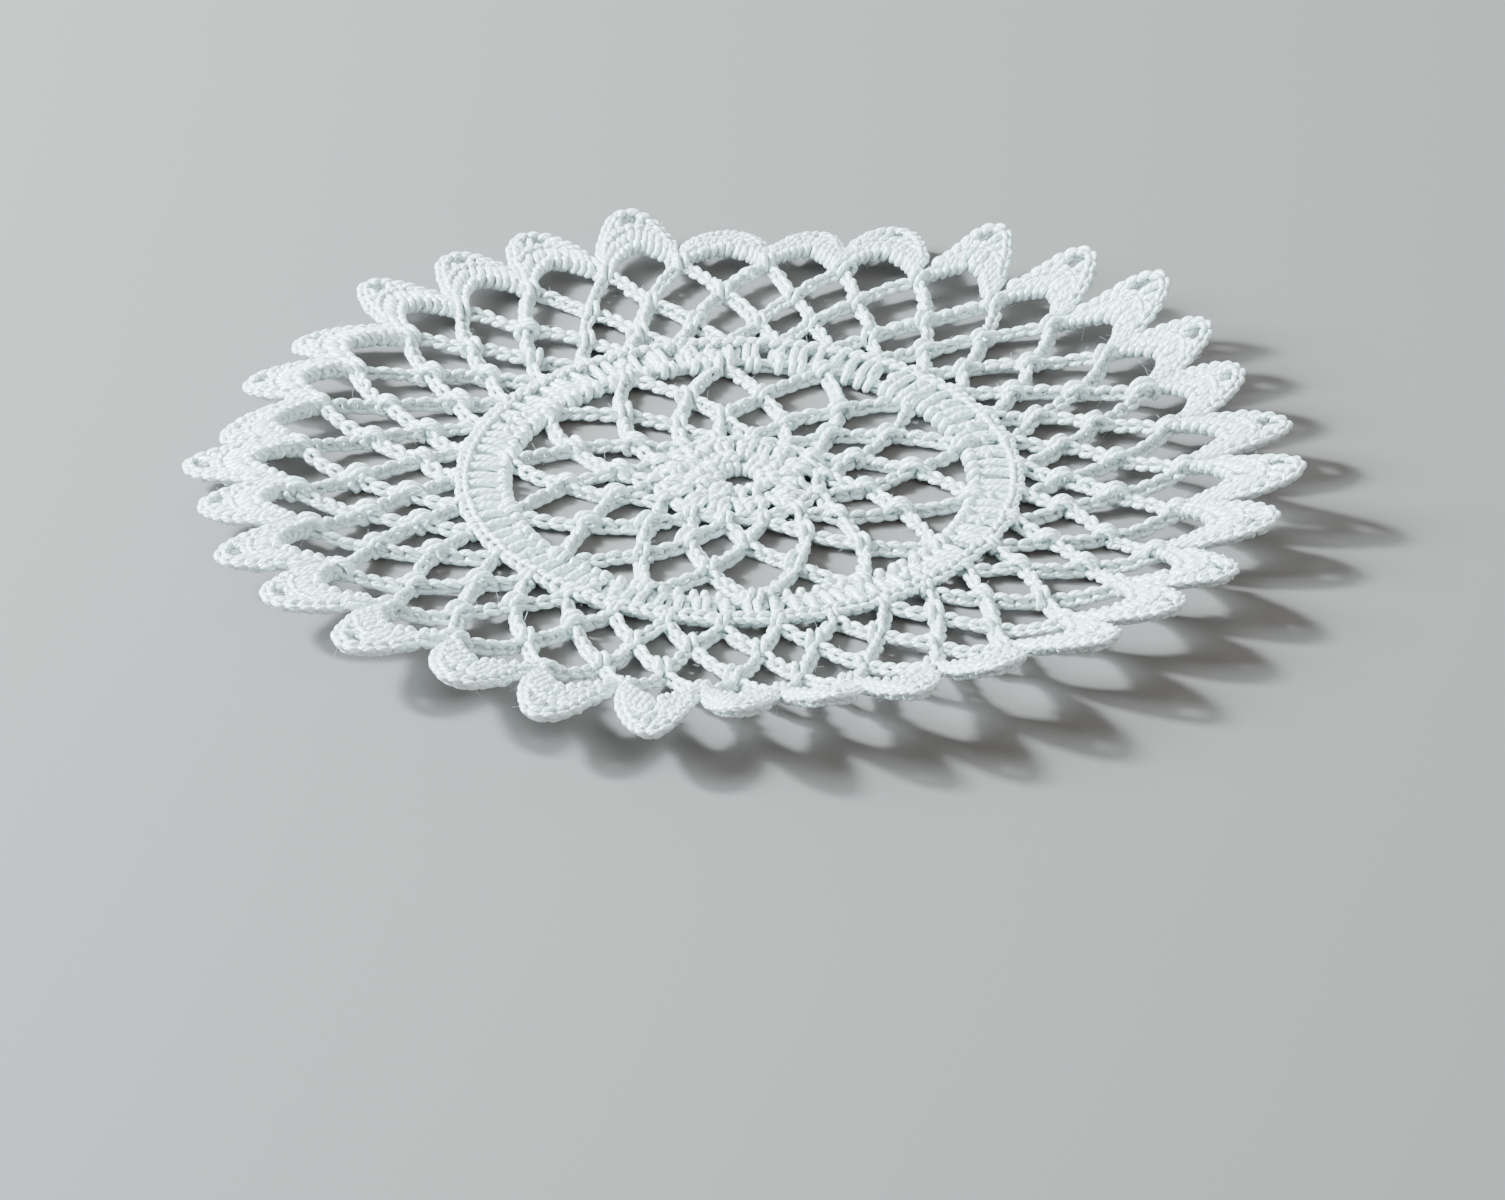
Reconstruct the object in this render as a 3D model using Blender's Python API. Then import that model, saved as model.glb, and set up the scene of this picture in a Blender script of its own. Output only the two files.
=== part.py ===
"""Round crocheted lace doily, lying face up with a raised brim and uneven scallops.

The whole doily is worked from one thread, so it is one closed solid: a thin sheet whose
gaps are cut right through.  From the middle outwards it has a closed disc of stitches, an
inner net of chain arches, a closed ring of tall stitches, an outer net of chain arches and
an edge of stitch-covered scallops.

The sheet is laid out flat first, on the plane z = 0, as one face for every gap and every
closed stretch of stitches.  The gaps are inset to leave the strands and then opened, the
sheet is given its thickness, and last of all its points are draped: inside FLAT_RADIUS
they lie on the surface, then they climb with the brim, and past it they follow the curl of
the nearest scallop, up or down.

Units are metres and +Z is up.  The origin is on the surface, under the middle of the whole
outline, which is a little off the middle of the rings.
"""
import math

import bmesh
import bpy

# Driving radii, from the middle outwards.
HOLE_RADIUS = 0.0022
DISC_RADIUS = 0.0112
RING_INNER_RADIUS = 0.0313
RING_OUTER_RADIUS = 0.0371
FLAT_RADIUS = 0.0405
BRIM_START = 0.0500
BRIM_FULL = 0.0560
BRIM_END = 0.0600
CURL_FULL = 0.0660
OUTSIDE_RADIUS = 0.0900

# How many arches and stitches go round.
INNER_ARCHES = 14
OUTER_ARCHES = 33
# Rounds of tall stitches, each raised as ridges that run outwards.
DISC_ROUNDS = (
    dict(stitches=14, start=0.0030, end=0.0060),
    dict(stitches=28, start=0.0067, end=0.0102),
)
RING_ROUNDS = (dict(stitches=99, start=0.0321, end=0.0363),)
BORDER_STEPS_INNER = 4
BORDER_STEPS_OUTER = 2
INNER_PHASE = math.radians(4.0)
OUTER_PHASE = math.radians(-16.8)

# Arch rounds of the two nets: radius at the tops, and how much an arch bows outwards.
INNER_ROUNDS = (
    dict(top=0.0165, bow=0.0),
    dict(top=0.0231, bow=0.0007),
    dict(top=RING_INNER_RADIUS, bow=0.0010),
)
OUTER_ROUNDS = (
    dict(top=0.0431, bow=0.0008),
    dict(top=0.0502, bow=0.0011),
    dict(top=0.0590, bow=0.0012),
)

# Half the width of the strand that is left round a gap, in each part of the sheet.
INNER_STRAND = 0.00090
OUTER_STRAND = 0.00095
SCALLOP_STRAND = 0.00110

# Heights above the underside: at a strand's middle line and at a gap's rim.
CREST_HEIGHT = 0.00175
RIM_HEIGHT = 0.00115
RING_BORDER_HEIGHT = 0.00205
RING_RIDGE_HEIGHT = 0.00225
RING_VALLEY_HEIGHT = 0.00165
SCALLOP_CREST_HEIGHT = 0.00260
SCALLOP_RIM_HEIGHT = 0.00170

# Unevenness of the hand work: how far an arch top strays round and outwards.
STRAY_ROUND = 0.0009
STRAY_OUT = 0.0007
RIPPLE_HEIGHT = 0.0009
BOW_AT = 0.5

# The brim's steepness all round, and how much steeper it is towards -Y.
BRIM_SLOPE = math.radians(14.0)
BRIM_LEAN = math.radians(9.0)

# The outer net is pulled round on one side: how far, where, and over how wide a stretch.
PULL = math.radians(5.2)
PULL_ANGLE = math.radians(246.0)
PULL_SPAN = math.radians(48.0)
PULL_START = 0.0371
PULL_FULL = 0.0550

# Half of a scallop, as its middle line and its outer line: across, and out from its feet.
SCALLOP_MIDDLE = (
    dict(across=0.00420, out=0.00280),
    dict(across=0.00240, out=0.00500),
)
SCALLOP_PEAK_OUT = 0.0064
SCALLOP_OUTER = (
    dict(across=0.00540, out=0.00680),
    dict(across=0.00440, out=0.00980),
    dict(across=0.00260, out=0.01280),
)
PLAIN_REACH = 0.0140
NOTCH_OUT = 0.0045

# One row for each scallop, anticlockwise from just past +X, where the scallop over the first
# outer arch stands: how steeply it curls up in degrees, or down if less than 0, how far its
# tip reaches out from its feet in millimetres, how far its tip leans round in degrees, and
# how wide it is beside the plain one.
SCALLOP_COLUMNS = ("curl", "reach", "lean", "width")
SCALLOP_ROWS = (
    (8, 15.4, -0.2, 1.00),
    (21, 13.0, 0.3, 1.06),
    (24, 14.1, -0.5, 1.02),
    (35, 15.9, -2.1, 1.02),
    (31, 14.8, -1.8, 0.96),
    (25, 14.0, -0.6, 0.94),
    (0, 12.4, 1.2, 1.10),
    (-7, 9.5, -1.0, 0.88),
    (-7, 8.2, -0.9, 1.12),
    (13, 13.5, -0.3, 1.00),
    (6, 13.3, 0.8, 1.04),
    (6, 12.4, -0.4, 1.04),
    (5, 13.3, 0.3, 0.94),
    (-10, 11.4, 2.6, 1.02),
    (-9, 11.8, 3.1, 1.02),
    (-10, 10.9, 4.2, 0.96),
    (-6, 15.0, -0.1, 0.98),
    (-4, 13.0, -0.9, 1.06),
    (0, 13.8, 0.0, 0.96),
    (4, 13.2, -0.8, 1.04),
    (8, 14.2, 0.2, 0.98),
    (14, 13.6, 0.8, 1.02),
    (6, 14.3, -0.6, 0.96),
    (2, 14.0, 0.4, 1.04),
    (23, 13.6, 0.0, 1.00),
    (29, 13.2, 1.0, 1.04),
    (22, 14.0, -0.6, 0.94),
    (28, 13.4, -1.2, 1.02),
    (22, 14.1, 0.8, 0.96),
    (17, 13.5, 0.4, 1.04),
    (14, 14.5, -0.8, 0.98),
    (14, 15.0, 0.8, 1.00),
    (18, 17.2, -1.3, 0.98),
)
SCALLOPS = [dict(zip(SCALLOP_COLUMNS, row)) for row in SCALLOP_ROWS]
MILLIMETRE = 0.001
# How many pitches past OUTER_PHASE the scallop over the first outer arch stands.
FIRST_SCALLOP = 0.5 * (len(OUTER_ROUNDS) + 1)

# Where the middle of the rings lies from the middle of the whole outline.
MIDDLE_X = -0.0003
MIDDLE_Y = 0.0005

# The flat layout is drawn in millimetres, where the inset's own thresholds suit its size.
LAYOUT = 1000.0
# How far apart two radii of the layout may be and still be the same circle.
SAME_RADIUS = 0.001

COTTON_COLOUR = (0.86, 0.88, 0.88, 1.0)
COTTON_ROUGHNESS = 0.85
SHARP_ANGLE = math.radians(60.0)


def stray(round_number, index):
    """Return two smooth uneven numbers between -1 and 1 for one arch of one round."""
    turn = index * 2.399 + round_number * 1.71
    first = 0.6 * math.sin(turn) + 0.4 * math.sin(2.7 * turn + 1.1)
    second = 0.6 * math.cos(1.3 * turn + 0.4) + 0.4 * math.sin(3.1 * turn)
    return first, second


def flat_point(radius, angle):
    """Return a point of the flat layout from its radius and its angle."""
    return LAYOUT * radius * math.cos(angle), LAYOUT * radius * math.sin(angle), 0.0


def curl_at(angle):
    """Return the curl in radians at an angle, eased from one scallop to the next."""
    pitch = 2.0 * math.pi / OUTER_ARCHES
    place = (angle - OUTER_PHASE) / pitch - FIRST_SCALLOP
    low = math.floor(place)
    ease = 0.5 - 0.5 * math.cos(math.pi * (place - low))
    here = SCALLOPS[low % OUTER_ARCHES]["curl"]
    there = SCALLOPS[(low + 1) % OUTER_ARCHES]["curl"]
    return math.radians(here + (there - here) * ease)


def eased(radius, start, end):
    """Return how far a radius is from a start to an end, from 0 to 1 without a jolt."""
    share = min(max((radius - start) / (end - start), 0.0), 1.0)
    return share * share * (3.0 - 2.0 * share)


def ripple_at(radius, angle):
    """Return how far the slack outer net is lifted off the surface."""
    swell = 0.5 + 0.3 * math.sin(5.0 * angle + 0.8) + 0.2 * math.sin(11.0 * angle + 2.0)
    return RIPPLE_HEIGHT * swell * eased(radius, FLAT_RADIUS, BRIM_START)


def pulled(radius, angle):
    """Return the angle to which the slack outer net is pulled round."""
    away = (angle - PULL_ANGLE + math.pi) % (2.0 * math.pi) - math.pi
    near = math.cos(0.5 * math.pi * min(abs(away) / PULL_SPAN, 1.0)) ** 2
    return angle + PULL * near * eased(radius, PULL_START, PULL_FULL)


def drape(radius, angle, height):
    """Return where a point of the flat sheet, at a height over its underside, ends up.

    Going outwards the sheet is flat, bends up into the brim and then into the curl of the
    scallop, and each of these stretches is an arc that starts at the slope of the last.
    """
    brim = BRIM_SLOPE - BRIM_LEAN * math.sin(angle)
    curl = curl_at(angle)
    stretches = (
        (BRIM_START, BRIM_FULL, brim),
        (BRIM_FULL, BRIM_END, brim),
        (BRIM_END, CURL_FULL, curl),
        (CURL_FULL, OUTSIDE_RADIUS, curl),
    )
    out = min(radius, BRIM_START)
    up = ripple_at(radius, angle)
    slope = 0.0
    for start, end, aim in stretches:
        past = min(max(radius - start, 0.0), end - start)
        turn = (aim - slope) * past / (end - start)
        chord = past * (1.0 - turn * turn / 24.0)
        out += chord * math.cos(slope + 0.5 * turn)
        up += chord * math.sin(slope + 0.5 * turn)
        slope += turn
    out -= height * math.sin(slope)
    up += height * math.cos(slope)
    around = pulled(radius, angle)
    return MIDDLE_X + out * math.cos(around), MIDDLE_Y + out * math.sin(around), up


class Sheet:
    """The flat layout of the doily, with the height of every point kept on the side."""

    def __init__(self):
        """Start an empty sheet."""
        self.bm = bmesh.new()
        self.height = self.bm.verts.layers.float.new("height")
        self.gaps = []

    def point(self, radius, angle, height):
        """Add one point of the sheet."""
        vertex = self.bm.verts.new(flat_point(radius, angle))
        vertex[self.height] = height
        return vertex

    def circle(self, radius, count, height, phase):
        """Add a circle of points."""
        step = 2.0 * math.pi / count
        return [self.point(radius, phase + index * step, height) for index in range(count)]

    def closed_face(self, points):
        """Add a stretch that stays closed."""
        return self.bm.faces.new(points)

    def gap(self, points, strand):
        """Add a gap, to be opened once half a strand is left round it."""
        self.gaps.append((self.bm.faces.new(points), strand))

    def arches(self, feet, number, count, phase, top, bow, fixed_tops=None):
        """Add a round of arches that stand on feet, and return its points by name."""
        step = 2.0 * math.pi / count
        tops = []
        rises = []
        falls = []
        for index in range(count):
            middle = phase + (index + 0.5 * number) * step
            around, outward = stray(number + count, index)
            angle = middle + around * STRAY_ROUND / top
            radius = top + outward * STRAY_OUT
            peak = fixed_tops[index] if fixed_tops else self.point(radius, angle, CREST_HEIGHT)
            tops.append(peak)
            if bow > 0.0:
                rises.append(self.between(feet[index], peak, bow))
                falls.append(self.between(peak, feet[(index + 1) % count], bow))
        return dict(feet=feet, tops=tops, rises=rises, falls=falls)

    def between(self, first, second, bow):
        """Add the middle point of half an arch, bowed away from the doily's middle."""
        middle = first.co.lerp(second.co, BOW_AT)
        middle = middle + middle.normalized() * bow * LAYOUT
        vertex = self.bm.verts.new(middle)
        vertex[self.height] = CREST_HEIGHT
        return vertex


def side(half, index):
    """Return the middle point of half an arch as a list, empty for a straight arch."""
    return [half[index]] if half else []


def diamond_gaps(sheet, lower, upper, count, strand):
    """Add the gaps between one round of arches and the next."""
    for index in range(count):
        after = (index + 1) % count
        outline = [lower["feet"][after]]
        outline += side(lower["falls"], index)
        outline += [lower["tops"][index]]
        outline += side(upper["rises"], index)
        outline += [upper["tops"][index]]
        outline += side(upper["falls"], index)
        outline += [lower["tops"][after]]
        outline += side(lower["rises"], after)
        sheet.gap(outline, strand)


def add_disc(sheet):
    """Add the closed disc in the middle and the small gaps under the first arches."""
    hole = sheet.circle(HOLE_RADIUS, INNER_ARCHES, RIM_HEIGHT, INNER_PHASE)
    feet = sheet.circle(DISC_RADIUS, INNER_ARCHES, CREST_HEIGHT, INNER_PHASE)
    first = sheet.arches(feet, 1, INNER_ARCHES, INNER_PHASE, **INNER_ROUNDS[0])
    for index in range(INNER_ARCHES):
        after = (index + 1) % INNER_ARCHES
        sheet.closed_face((hole[index], feet[index], feet[after], hole[after]))
        sheet.gap((feet[after], feet[index], first["tops"][index]), INNER_STRAND)
    return first


def add_inner_net(sheet, first):
    """Add the inner net and return the circle of points where it meets the ring."""
    steps = BORDER_STEPS_INNER
    phase = INNER_PHASE + 1.5 * 2.0 * math.pi / INNER_ARCHES
    border = sheet.circle(RING_INNER_RADIUS, INNER_ARCHES * steps, RING_BORDER_HEIGHT, phase)
    second = sheet.arches(first["tops"], 2, INNER_ARCHES, INNER_PHASE, **INNER_ROUNDS[1])
    third = sheet.arches(
        second["tops"], 3, INNER_ARCHES, INNER_PHASE, fixed_tops=border[::steps], **INNER_ROUNDS[2]
    )
    diamond_gaps(sheet, first, second, INNER_ARCHES, INNER_STRAND)
    diamond_gaps(sheet, second, third, INNER_ARCHES, INNER_STRAND)
    for index in range(INNER_ARCHES):
        after = (index + 1) % INNER_ARCHES
        run = [border[(index * steps + step) % len(border)] for step in range(steps + 1)]
        outline = [third["feet"][after], third["falls"][index]]
        outline += run
        outline += [third["rises"][after]]
        sheet.gap(outline, INNER_STRAND)
    return border


def add_ring(sheet, inner_border):
    """Add the closed ring, flat for now, and return its outer circle of points."""
    count = OUTER_ARCHES * BORDER_STEPS_OUTER
    outer_border = sheet.circle(RING_OUTER_RADIUS, count, RING_BORDER_HEIGHT, OUTER_PHASE)
    join_circles(sheet.bm, inner_border, outer_border)
    return outer_border


def join_circles(bm, inner, outer):
    """Fill between two circles of points, whose numbers may differ, with a ring of triangles."""
    inner = sorted(inner, key=angle_of)
    outer = sorted(outer, key=angle_of)
    steps = [(angle_of(vertex), 0) for vertex in inner]
    steps += [(angle_of(vertex), 1) for vertex in outer]
    places = [len(inner) - 1, len(outer) - 1]
    loops = (inner, outer)
    for _, side_index in sorted(steps, key=lambda step: step[0]):
        loop = loops[side_index]
        ahead = (places[side_index] + 1) % len(loop)
        across = loops[1 - side_index][places[1 - side_index]]
        bm.faces.new((loop[places[side_index]], loop[ahead], across))
        places[side_index] = ahead


def angle_of(vertex):
    """Return the angle at which a point of the flat sheet lies."""
    return math.atan2(vertex.co.y, vertex.co.x)


def add_outer_net(sheet, border):
    """Add the three rounds of arches outside the ring and return the last of them."""
    steps = BORDER_STEPS_OUTER
    feet = border[::steps]
    rounds = []
    for number, sizes in enumerate(OUTER_ROUNDS, start=1):
        rounds.append(sheet.arches(feet, number, OUTER_ARCHES, OUTER_PHASE, **sizes))
        feet = rounds[-1]["tops"]
    first = rounds[0]
    for index in range(OUTER_ARCHES):
        run = [border[(index * steps + step) % len(border)] for step in range(steps, -1, -1)]
        outline = run + [first["rises"][index], first["tops"][index], first["falls"][index]]
        sheet.gap(outline, OUTER_STRAND)
    for lower, upper in zip(rounds, rounds[1:]):
        diamond_gaps(sheet, lower, upper, OUTER_ARCHES, OUTER_STRAND)
    return rounds[-1]


def stretch_of(index):
    """Return how long a scallop is beside the plain one."""
    return SCALLOPS[index]["reach"] * MILLIMETRE / PLAIN_REACH


def scallop_line(sheet, index, rows, peak_out, height):
    """Add a line of points over a scallop, between its first foot and its second."""
    row = SCALLOPS[index]
    pitch = 2.0 * math.pi / OUTER_ARCHES
    middle = OUTER_PHASE + (index + FIRST_SCALLOP) * pitch
    base = OUTER_ROUNDS[-1]["top"]
    lean = math.radians(row["lean"])
    stretch = stretch_of(index)
    half = [(-size["across"], size["out"]) for size in rows]
    other = [(size["across"], size["out"]) for size in reversed(rows)]
    points = []
    for across, out in half + [(0.0, peak_out)] + other:
        radius = base + out * stretch
        angle = middle + lean * out / PLAIN_REACH + across * row["width"] / radius
        points.append(sheet.point(radius, angle, height))
    return points


def add_band(sheet, inner, outer):
    """Fill a scallop's band; its inner line has two points fewer, so its peak serves three."""
    peak = len(inner) // 2
    facing = inner[:peak] + [inner[peak]] * 3 + inner[peak + 1:]
    for step in range(len(outer) - 1):
        corners = [facing[step], outer[step], outer[step + 1]]
        if facing[step + 1] is not facing[step]:
            corners.append(facing[step + 1])
        sheet.closed_face(corners)


def add_scallops(sheet, last):
    """Add the scalloped edge over the last round of arches."""
    pitch = 2.0 * math.pi / OUTER_ARCHES
    notches = []
    for index in range(OUTER_ARCHES):
        angle = OUTER_PHASE + (index + FIRST_SCALLOP - 0.5) * pitch
        stretch = 0.5 * (stretch_of(index - 1) + stretch_of(index))
        radius = OUTER_ROUNDS[-1]["top"] + NOTCH_OUT * stretch
        notches.append(sheet.point(radius, angle, SCALLOP_RIM_HEIGHT))
    for foot in last["tops"]:
        foot[sheet.height] = SCALLOP_CREST_HEIGHT
    for index in range(OUTER_ARCHES):
        after = (index + 1) % OUTER_ARCHES
        middle = scallop_line(sheet, index, SCALLOP_MIDDLE, SCALLOP_PEAK_OUT, SCALLOP_CREST_HEIGHT)
        outer = scallop_line(sheet, index, SCALLOP_OUTER, PLAIN_REACH, SCALLOP_RIM_HEIGHT)
        middle_run = [last["tops"][index]] + middle + [last["tops"][after]]
        add_band(sheet, middle_run, [notches[index]] + outer + [notches[after]])
        outline = [last["feet"][after], last["falls"][index]]
        outline += middle_run
        outline += [last["rises"][after]]
        sheet.gap(outline, SCALLOP_STRAND)


def open_gaps(sheet):
    """Leave half a strand round every gap, then take the gap's face out."""
    strands = sorted({strand for _, strand in sheet.gaps})
    sheet.bm.normal_update()
    for strand in strands:
        faces = [face for face, kept in sheet.gaps if kept == strand]
        known = set(sheet.bm.verts)
        width = strand * LAYOUT
        bmesh.ops.inset_individual(sheet.bm, faces=faces, thickness=width, use_even_offset=True)
        rim = SCALLOP_RIM_HEIGHT if strand == SCALLOP_STRAND else RIM_HEIGHT
        for vertex in sheet.bm.verts:
            if vertex not in known:
                vertex[sheet.height] = rim
        bmesh.ops.delete(sheet.bm, geom=faces, context="FACES")


def thicken(sheet):
    """Give the sheet its upper side and its walls, and return the upper points."""
    result = bmesh.ops.extrude_face_region(sheet.bm, geom=sheet.bm.faces[:])
    upper = {item for item in result["geom"] if isinstance(item, bmesh.types.BMVert)}
    for vertex in sheet.bm.verts:
        if vertex not in upper:
            vertex[sheet.height] = 0.0
    return upper


def upper_circle(upper, radius):
    """Return the upper points that lie on a circle round the middle."""
    wanted = radius * LAYOUT
    return [vertex for vertex in upper if abs(vertex.co.xy.length - wanted) < SAME_RADIUS]


def raise_stitches(sheet, upper, inner_radius, outer_radius, rounds):
    """Replace the upper side of a closed band by ridges, one for each tall stitch."""
    inner = upper_circle(upper, inner_radius)
    outer = upper_circle(upper, outer_radius)
    inside = set(inner) | set(outer)
    band = [face for face in sheet.bm.faces if all(vertex in inside for vertex in face.verts)]
    bmesh.ops.delete(sheet.bm, geom=band, context="FACES")
    loops = [inner]
    for row in rounds:
        count = 2 * row["stitches"]
        for radius in (row["start"], row["end"]):
            loop = sheet.circle(radius, count, RING_VALLEY_HEIGHT, INNER_PHASE)
            for vertex in loop[::2]:
                vertex[sheet.height] = RING_RIDGE_HEIGHT
            loops.append(loop)
    loops.append(outer)
    for first, second in zip(loops, loops[1:]):
        join_circles(sheet.bm, first, second)


def drape_sheet(sheet):
    """Move every point of the thick flat sheet to where it lies."""
    for vertex in sheet.bm.verts:
        radius = vertex.co.xy.length / LAYOUT
        vertex.co = drape(radius, angle_of(vertex), vertex[sheet.height])


def build_doily():
    """Build the doily's mesh."""
    sheet = Sheet()
    first = add_disc(sheet)
    inner_border = add_inner_net(sheet, first)
    outer_border = add_ring(sheet, inner_border)
    last = add_outer_net(sheet, outer_border)
    add_scallops(sheet, last)
    open_gaps(sheet)
    upper = thicken(sheet)
    raise_stitches(sheet, upper, RING_INNER_RADIUS, RING_OUTER_RADIUS, RING_ROUNDS)
    raise_stitches(sheet, upper, HOLE_RADIUS, DISC_RADIUS, DISC_ROUNDS)
    drape_sheet(sheet)
    bmesh.ops.recalc_face_normals(sheet.bm, faces=sheet.bm.faces[:])
    mesh = bpy.data.meshes.new("doily")
    sheet.bm.to_mesh(mesh)
    sheet.bm.free()
    mesh.shade_smooth()
    mesh.set_sharp_from_angle(angle=SHARP_ANGLE)
    return mesh


def cotton_material():
    """Return the matt white cotton of the thread."""
    material = bpy.data.materials.new("white_cotton")
    material.use_nodes = True
    shader = material.node_tree.nodes["Principled BSDF"]
    shader.inputs["Base Color"].default_value = COTTON_COLOUR
    shader.inputs["Roughness"].default_value = COTTON_ROUGHNESS
    shader.inputs["Metallic"].default_value = 0.0
    return material


def main():
    """Clear the scene and add the doily to it."""
    for thing in list(bpy.data.objects):
        bpy.data.objects.remove(thing, do_unlink=True)
    mesh = build_doily()
    mesh.materials.append(cotton_material())
    doily = bpy.data.objects.new("doily", mesh)
    bpy.context.scene.collection.objects.link(doily)


main()
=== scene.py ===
"""Looks of a round crocheted lace doily of white cotton, worked stitch by stitch.

The doily is laid out flat first, in the same layout as its solid, and every stitch is a line
that the thread follows over, under and through its neighbours.  Each line is draped with the
sheet and then given the thread's round section; the plies and the fibres are in the finish,
which also holds painted shade in the grooves between the plies.
Lengths are in metres, and the tables of a stitch's turns are in millimetres.
"""
from __future__ import annotations
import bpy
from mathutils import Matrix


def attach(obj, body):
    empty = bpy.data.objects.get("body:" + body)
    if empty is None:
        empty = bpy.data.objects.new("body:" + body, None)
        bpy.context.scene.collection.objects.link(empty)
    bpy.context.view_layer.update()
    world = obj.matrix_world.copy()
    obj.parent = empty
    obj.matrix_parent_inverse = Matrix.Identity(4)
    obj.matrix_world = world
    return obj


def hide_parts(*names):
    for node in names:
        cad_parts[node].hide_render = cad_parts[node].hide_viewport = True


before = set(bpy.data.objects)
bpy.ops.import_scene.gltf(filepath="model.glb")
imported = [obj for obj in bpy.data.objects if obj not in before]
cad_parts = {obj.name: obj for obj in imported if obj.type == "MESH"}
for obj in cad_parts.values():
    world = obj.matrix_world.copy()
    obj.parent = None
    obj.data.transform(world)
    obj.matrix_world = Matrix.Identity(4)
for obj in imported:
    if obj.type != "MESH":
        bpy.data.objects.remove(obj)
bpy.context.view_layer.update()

import logging
import math
from dataclasses import dataclass, field
from enum import Enum
from typing import Any, Callable, ClassVar, Sequence

import bmesh
import bpy
import numpy as np
from mathutils import Vector

LOG = logging.getLogger("doily")
MM = 0.001
TURN = 2.0 * math.pi
TINY = 1e-9
NODE = "doily"
Pair = tuple[float, float]
Triple = tuple[float, float, float]
Colour = tuple[float, float, float, float]


# --------------------------------------------------------------------------- layout


def polar(radius: float, angle: float) -> np.ndarray:
    """Return a point of the flat layout from its radius and angle."""
    return np.array((radius * math.cos(angle), radius * math.sin(angle)))


def unit(vector: np.ndarray) -> np.ndarray:
    """Return a vector brought to length one."""
    return vector / max(float(np.linalg.norm(vector)), TINY)


def eased(radius: np.ndarray, start: float, end: float) -> np.ndarray:
    """Return how far some radii are from a start to an end, from 0 to 1 without a jolt."""
    share = np.clip((radius - start) / (end - start), 0.0, 1.0)
    return share * share * (3.0 - 2.0 * share)


def waves(turn: Any, rows: Sequence[Triple]) -> Any:
    """Return the sum of sine waves at some angles, from their heights, rates and starts."""
    return sum(height * np.sin(rate * turn + start) for height, rate, start in rows)


@dataclass(frozen=True)
class Scallop:
    """One scallop: its curl and lean in degrees, its reach in millimetres, and its width."""

    curl: float
    reach: float
    lean: float
    width: float


SCALLOPS = tuple(
    Scallop(*row)
    for row in (
        (8, 15.4, -0.2, 1.00), (21, 13.0, 0.3, 1.06), (24, 14.1, -0.5, 1.02),
        (35, 15.9, -2.1, 1.02), (31, 14.8, -1.8, 0.96), (25, 14.0, -0.6, 0.94),
        (0, 12.4, 1.2, 1.10), (-7, 9.5, -1.0, 0.88), (-7, 8.2, -0.9, 1.12),
        (13, 13.5, -0.3, 1.00), (6, 13.3, 0.8, 1.04), (6, 12.4, -0.4, 1.04),
        (5, 13.3, 0.3, 0.94), (-10, 11.4, 2.6, 1.02), (-9, 11.8, 3.1, 1.02),
        (-10, 10.9, 4.2, 0.96), (-6, 15.0, -0.1, 0.98), (-4, 13.0, -0.9, 1.06),
        (0, 13.8, 0.0, 0.96), (4, 13.2, -0.8, 1.04), (8, 14.2, 0.2, 0.98),
        (14, 13.6, 0.8, 1.02), (6, 14.3, -0.6, 0.96), (2, 14.0, 0.4, 1.04),
        (23, 13.6, 0.0, 1.00), (29, 13.2, 1.0, 1.04), (22, 14.0, -0.6, 0.94),
        (28, 13.4, -1.2, 1.02), (22, 14.1, 0.8, 0.96), (17, 13.5, 0.4, 1.04),
        (14, 14.5, -0.8, 0.98), (14, 15.0, 0.8, 1.00), (18, 17.2, -1.3, 0.98),
    )
)


@dataclass(frozen=True)
class ArchRound:
    """One round of arches: the tops' radius, how far each half bows, and if the tops stray."""

    top: float
    bow: float
    strays: bool = True


@dataclass(frozen=True)
class ArchNet:
    """A net of arches: how many go round, the angle and radius of the first feet, the rounds.

    Its tops stray round and outwards by smooth waves, which turn on by STRAY_STEPS with each
    arch and each round.
    """

    arches: int
    phase: float
    feet: float
    rounds: tuple[ArchRound, ...]

    STRAY_ROUND = 0.9 * MM
    STRAY_OUT = 0.7 * MM
    STRAY_STEPS = (2.399, 1.71)
    ROUND_WAVES = ((0.6, 1.0, 0.0), (0.4, 2.7, 1.1))
    OUT_WAVES = ((0.6, 1.3, 0.4 + 0.25 * TURN), (0.4, 3.1, 0.0))

    @property
    def pitch(self) -> float:
        """Return the angle between two arches."""
        return TURN / self.arches

    def tops(self, number: int) -> list[np.ndarray]:
        """Return the tops of one round of arches, as uneven as the hand left them.

        Args:
            number: the round, from 1, or 0 for the feet of the first round.

        Returns:
            The points in the flat layout.
        """
        sizes = (ArchRound(self.feet, 0.0, False), *self.rounds)[number]
        points = []
        for index in range(self.arches):
            angle = self.phase + (index + 0.5 * number) * self.pitch
            radius = sizes.top
            if sizes.strays:
                turn = np.dot((index, number + self.arches), self.STRAY_STEPS)
                angle += waves(turn, self.ROUND_WAVES) * self.STRAY_ROUND / radius
                radius += waves(turn, self.OUT_WAVES) * self.STRAY_OUT
            points.append(polar(radius, angle))
        return points


class Side(Enum):
    """The net of arches inside the ring of tall stitches and the one outside it."""

    INNER = ArchNet(
        14, math.radians(4.0), 0.0112,
        (ArchRound(0.0165, 0.0), ArchRound(0.0231, 0.0007), ArchRound(0.0313, 0.0010, False)),
    )
    OUTER = ArchNet(
        33, math.radians(-16.8), 0.0371,
        (ArchRound(0.0431, 0.0008), ArchRound(0.0502, 0.0011), ArchRound(0.0590, 0.0012)),
    )


INNER = Side.INNER.value
OUTER = Side.OUTER.value


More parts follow.
